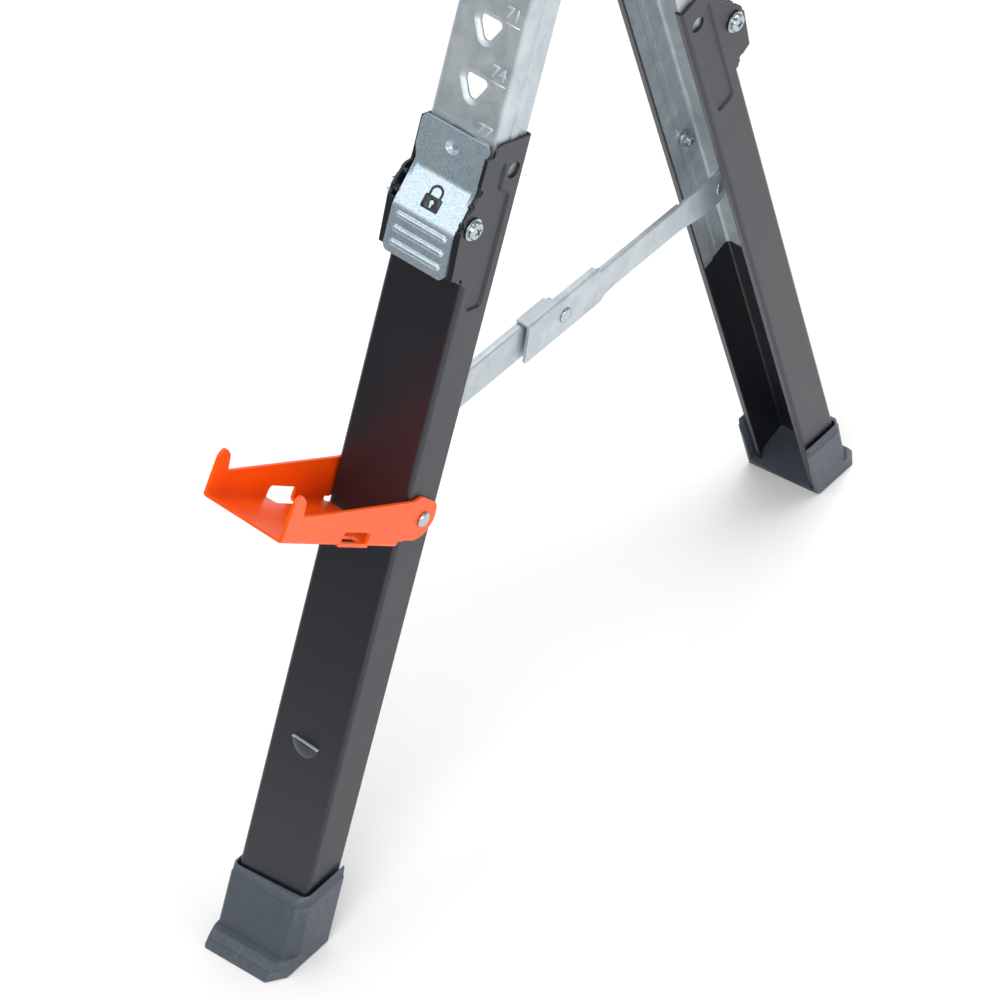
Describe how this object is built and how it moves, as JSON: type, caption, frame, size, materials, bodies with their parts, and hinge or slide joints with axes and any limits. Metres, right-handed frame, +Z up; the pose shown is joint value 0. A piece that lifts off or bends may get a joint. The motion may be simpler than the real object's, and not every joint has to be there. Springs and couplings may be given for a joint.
{
  "type": "folding sawhorse",
  "caption": "Steel folding sawhorse with telescopic black legs, lever locks, two-bar spreaders, orange swing-out board brackets and a pressed steel beam.",
  "frame": {"origin": "on the floor, under the middle of the beam", "axes": "+X along the beam, +Y across it away from the board brackets, +Z up"},
  "size_m": [1.0994, 0.5416, 0.771],
  "materials": {
    "black_paint": "satin black powder coat on pressed steel",
    "galvanised": "galvanised steel, soft mottled sheen",
    "zinc_plate": "blue-bright zinc plated pressed steel",
    "bright_zinc": "bright zinc plated fasteners",
    "orange_paint": "glossy orange powder coat",
    "slate_plastic": "slate grey moulded plastic, matte"
  },
  "bodies": {
    "root": {"beam": "black_paint", "carry_handle": "slate_plastic", "hanger_w": "black_paint", "hanger_e": "black_paint", "frame_pin_w": "bright_zinc", "frame_pin_e": "bright_zinc", "end_cap_w": "slate_plastic", "end_cap_e": "slate_plastic"},
    "end_frame_w": {"yoke_w": "galvanised"},
    "latch_w": {"latch_plunger_w": "slate_plastic"},
    "leg_ws": {"inner_leg_ws": "galvanised", "guide_bolt_ws": "bright_zinc", "hinge_bolt_ws": "bright_zinc", "spreader_pin_ws": "bright_zinc"},
    "slider_ws": {"sleeve_ws": "black_paint", "foot_ws": "slate_plastic", "lever_bolt_ws": "bright_zinc", "lever_spring_ws": "bright_zinc", "bracket_rivet_w_in": "bright_zinc", "bracket_rivet_w_out": "bright_zinc"},
    "lever_ws": {"cam_lever_ws": "zinc_plate"},
    "leg_wn": {"inner_leg_wn": "galvanised", "guide_bolt_wn": "bright_zinc", "hinge_bolt_wn": "bright_zinc", "spreader_pin_wn": "bright_zinc"},
    "slider_wn": {"sleeve_wn": "black_paint", "foot_wn": "slate_plastic", "lever_bolt_wn": "bright_zinc", "lever_spring_wn": "bright_zinc"},
    "lever_wn": {"cam_lever_wn": "zinc_plate"},
    "spreader_front_w": {"spreader_bar_front_w": "galvanised", "spreader_rivet_w": "bright_zinc"},
    "spreader_back_w": {"spreader_bar_back_w": "galvanised"},
    "bracket_w": {"board_bracket_w": "orange_paint"},
    "end_frame_e": {"yoke_e": "galvanised"},
    "latch_e": {"latch_plunger_e": "slate_plastic"},
    "leg_es": {"inner_leg_es": "galvanised", "guide_bolt_es": "bright_zinc", "hinge_bolt_es": "bright_zinc", "spreader_pin_es": "bright_zinc"},
    "slider_es": {"sleeve_es": "black_paint", "foot_es": "slate_plastic", "lever_bolt_es": "bright_zinc", "lever_spring_es": "bright_zinc", "bracket_rivet_e_in": "bright_zinc", "bracket_rivet_e_out": "bright_zinc"},
    "lever_es": {"cam_lever_es": "zinc_plate"},
    "leg_en": {"inner_leg_en": "galvanised", "guide_bolt_en": "bright_zinc", "hinge_bolt_en": "bright_zinc", "spreader_pin_en": "bright_zinc"},
    "slider_en": {"sleeve_en": "black_paint", "foot_en": "slate_plastic", "lever_bolt_en": "bright_zinc", "lever_spring_en": "bright_zinc"},
    "lever_en": {"cam_lever_en": "zinc_plate"},
    "spreader_front_e": {"spreader_bar_front_e": "galvanised", "spreader_rivet_e": "bright_zinc"},
    "spreader_back_e": {"spreader_bar_back_e": "galvanised"},
    "bracket_e": {"board_bracket_e": "orange_paint"}
  },
  "joints": [
    {"name": "end_fold_w", "type": "hinge", "parent": "root", "child": "end_frame_w", "pos_m": [-0.46505, 0, 0.65738], "axis": [0, -1, 0], "range_deg": [0, 97.8]},
    {"name": "latch_push_w", "type": "slide", "parent": "root", "child": "latch_w", "axis": [0, 1, 0], "range_m": [0, 0.0065]},
    {"name": "splay_ws", "type": "hinge", "parent": "end_frame_w", "child": "leg_ws", "pos_m": [-0.435, -0.021, 0.63362], "axis": [0.9907, 0, -0.1357], "range_deg": [0, 19.4]},
    {"name": "height_ws", "type": "slide", "parent": "leg_ws", "child": "slider_ws", "axis": [0.128, 0.3322, 0.9345], "range_m": [-0.0963, 0.0963]},
    {"name": "cam_ws", "type": "hinge", "parent": "slider_ws", "child": "lever_ws", "pos_m": [-0.46037, -0.10623, 0.44843], "axis": [0.9907, 0, -0.1357], "range_deg": [0, 12], "stiffness_Nm_per_rad": 0.4, "springref_deg": -5.73},
    {"name": "splay_wn", "type": "hinge", "parent": "end_frame_w", "child": "leg_wn", "pos_m": [-0.435, 0.021, 0.63362], "axis": [0.9907, 0, -0.1357], "range_deg": [-19.4, 0]},
    {"name": "height_wn", "type": "slide", "parent": "leg_wn", "child": "slider_wn", "axis": [0.128, -0.3322, 0.9345], "range_m": [-0.0963, 0.0963]},
    {"name": "cam_wn", "type": "hinge", "parent": "slider_wn", "child": "lever_wn", "pos_m": [-0.46037, 0.10623, 0.44843], "axis": [-0.9907, 0, 0.1357], "range_deg": [0, 12], "stiffness_Nm_per_rad": 0.4, "springref_deg": -5.73},
    {"name": "spread_front_w", "type": "hinge", "parent": "leg_wn", "child": "spreader_front_w", "pos_m": [-0.48057, 0.13637, 0.30097], "axis": [0.9907, 0, -0.1357], "range_deg": [-62.9, 0]},
    {"name": "spread_back_w", "type": "hinge", "parent": "leg_ws", "child": "spreader_back_w", "pos_m": [-0.48057, -0.13637, 0.30097], "axis": [0.9907, 0, -0.1357], "range_deg": [0, 62.9]},
    {"name": "bracket_w_fold", "type": "hinge", "parent": "slider_ws", "child": "bracket_w", "pos_m": [-0.48407, -0.1462, 0.27541], "axis": [-0.9907, 0, 0.1357], "range_deg": [0, 69.7]},
    {"name": "end_fold_e", "type": "hinge", "parent": "root", "child": "end_frame_e", "pos_m": [0.39966, 0, 0.64842], "axis": [0, 1, 0], "range_deg": [0, 97.8]},
    {"name": "latch_push_e", "type": "slide", "parent": "root", "child": "latch_e", "axis": [0, 1, 0], "range_m": [0, 0.0065]},
    {"name": "splay_es", "type": "hinge", "parent": "end_frame_e", "child": "leg_es", "pos_m": [0.435, -0.021, 0.63362], "axis": [0.9907, 0, 0.1357], "range_deg": [0, 19.4]},
    {"name": "height_es", "type": "slide", "parent": "leg_es", "child": "slider_es", "axis": [-0.128, 0.3322, 0.9345], "range_m": [-0.0963, 0.0963]},
    {"name": "cam_es", "type": "hinge", "parent": "slider_es", "child": "lever_es", "pos_m": [0.46037, -0.10623, 0.44843], "axis": [0.9907, 0, 0.1357], "range_deg": [0, 12], "stiffness_Nm_per_rad": 0.4, "springref_deg": -5.73},
    {"name": "splay_en", "type": "hinge", "parent": "end_frame_e", "child": "leg_en", "pos_m": [0.435, 0.021, 0.63362], "axis": [0.9907, 0, 0.1357], "range_deg": [-19.4, 0]},
    {"name": "height_en", "type": "slide", "parent": "leg_en", "child": "slider_en", "axis": [-0.128, -0.3322, 0.9345], "range_m": [-0.0963, 0.0963]},
    {"name": "cam_en", "type": "hinge", "parent": "slider_en", "child": "lever_en", "pos_m": [0.46037, 0.10623, 0.44843], "axis": [-0.9907, 0, -0.1357], "range_deg": [0, 12], "stiffness_Nm_per_rad": 0.4, "springref_deg": -5.73},
    {"name": "spread_front_e", "type": "hinge", "parent": "leg_en", "child": "spreader_front_e", "pos_m": [0.48057, 0.13637, 0.30097], "axis": [0.9907, 0, 0.1357], "range_deg": [-62.9, 0]},
    {"name": "spread_back_e", "type": "hinge", "parent": "leg_es", "child": "spreader_back_e", "pos_m": [0.48057, -0.13637, 0.30097], "axis": [0.9907, 0, 0.1357], "range_deg": [0, 62.9]},
    {"name": "bracket_e_fold", "type": "hinge", "parent": "slider_es", "child": "bracket_e", "pos_m": [0.48407, -0.1462, 0.27541], "axis": [-0.9907, 0, -0.1357], "range_deg": [0, 69.7]}
  ],
  "couplings": [
    {"joint": "splay_wn", "follows": "splay_ws", "ratio": -1},
    {"joint": "spread_front_w", "follows": "splay_ws", "ratio": -3.2417},
    {"joint": "spread_back_w", "follows": "splay_ws", "ratio": 3.2417},
    {"joint": "splay_en", "follows": "splay_es", "ratio": -1},
    {"joint": "spread_front_e", "follows": "splay_es", "ratio": -3.2417},
    {"joint": "spread_back_e", "follows": "splay_es", "ratio": 3.2417}
  ]
}
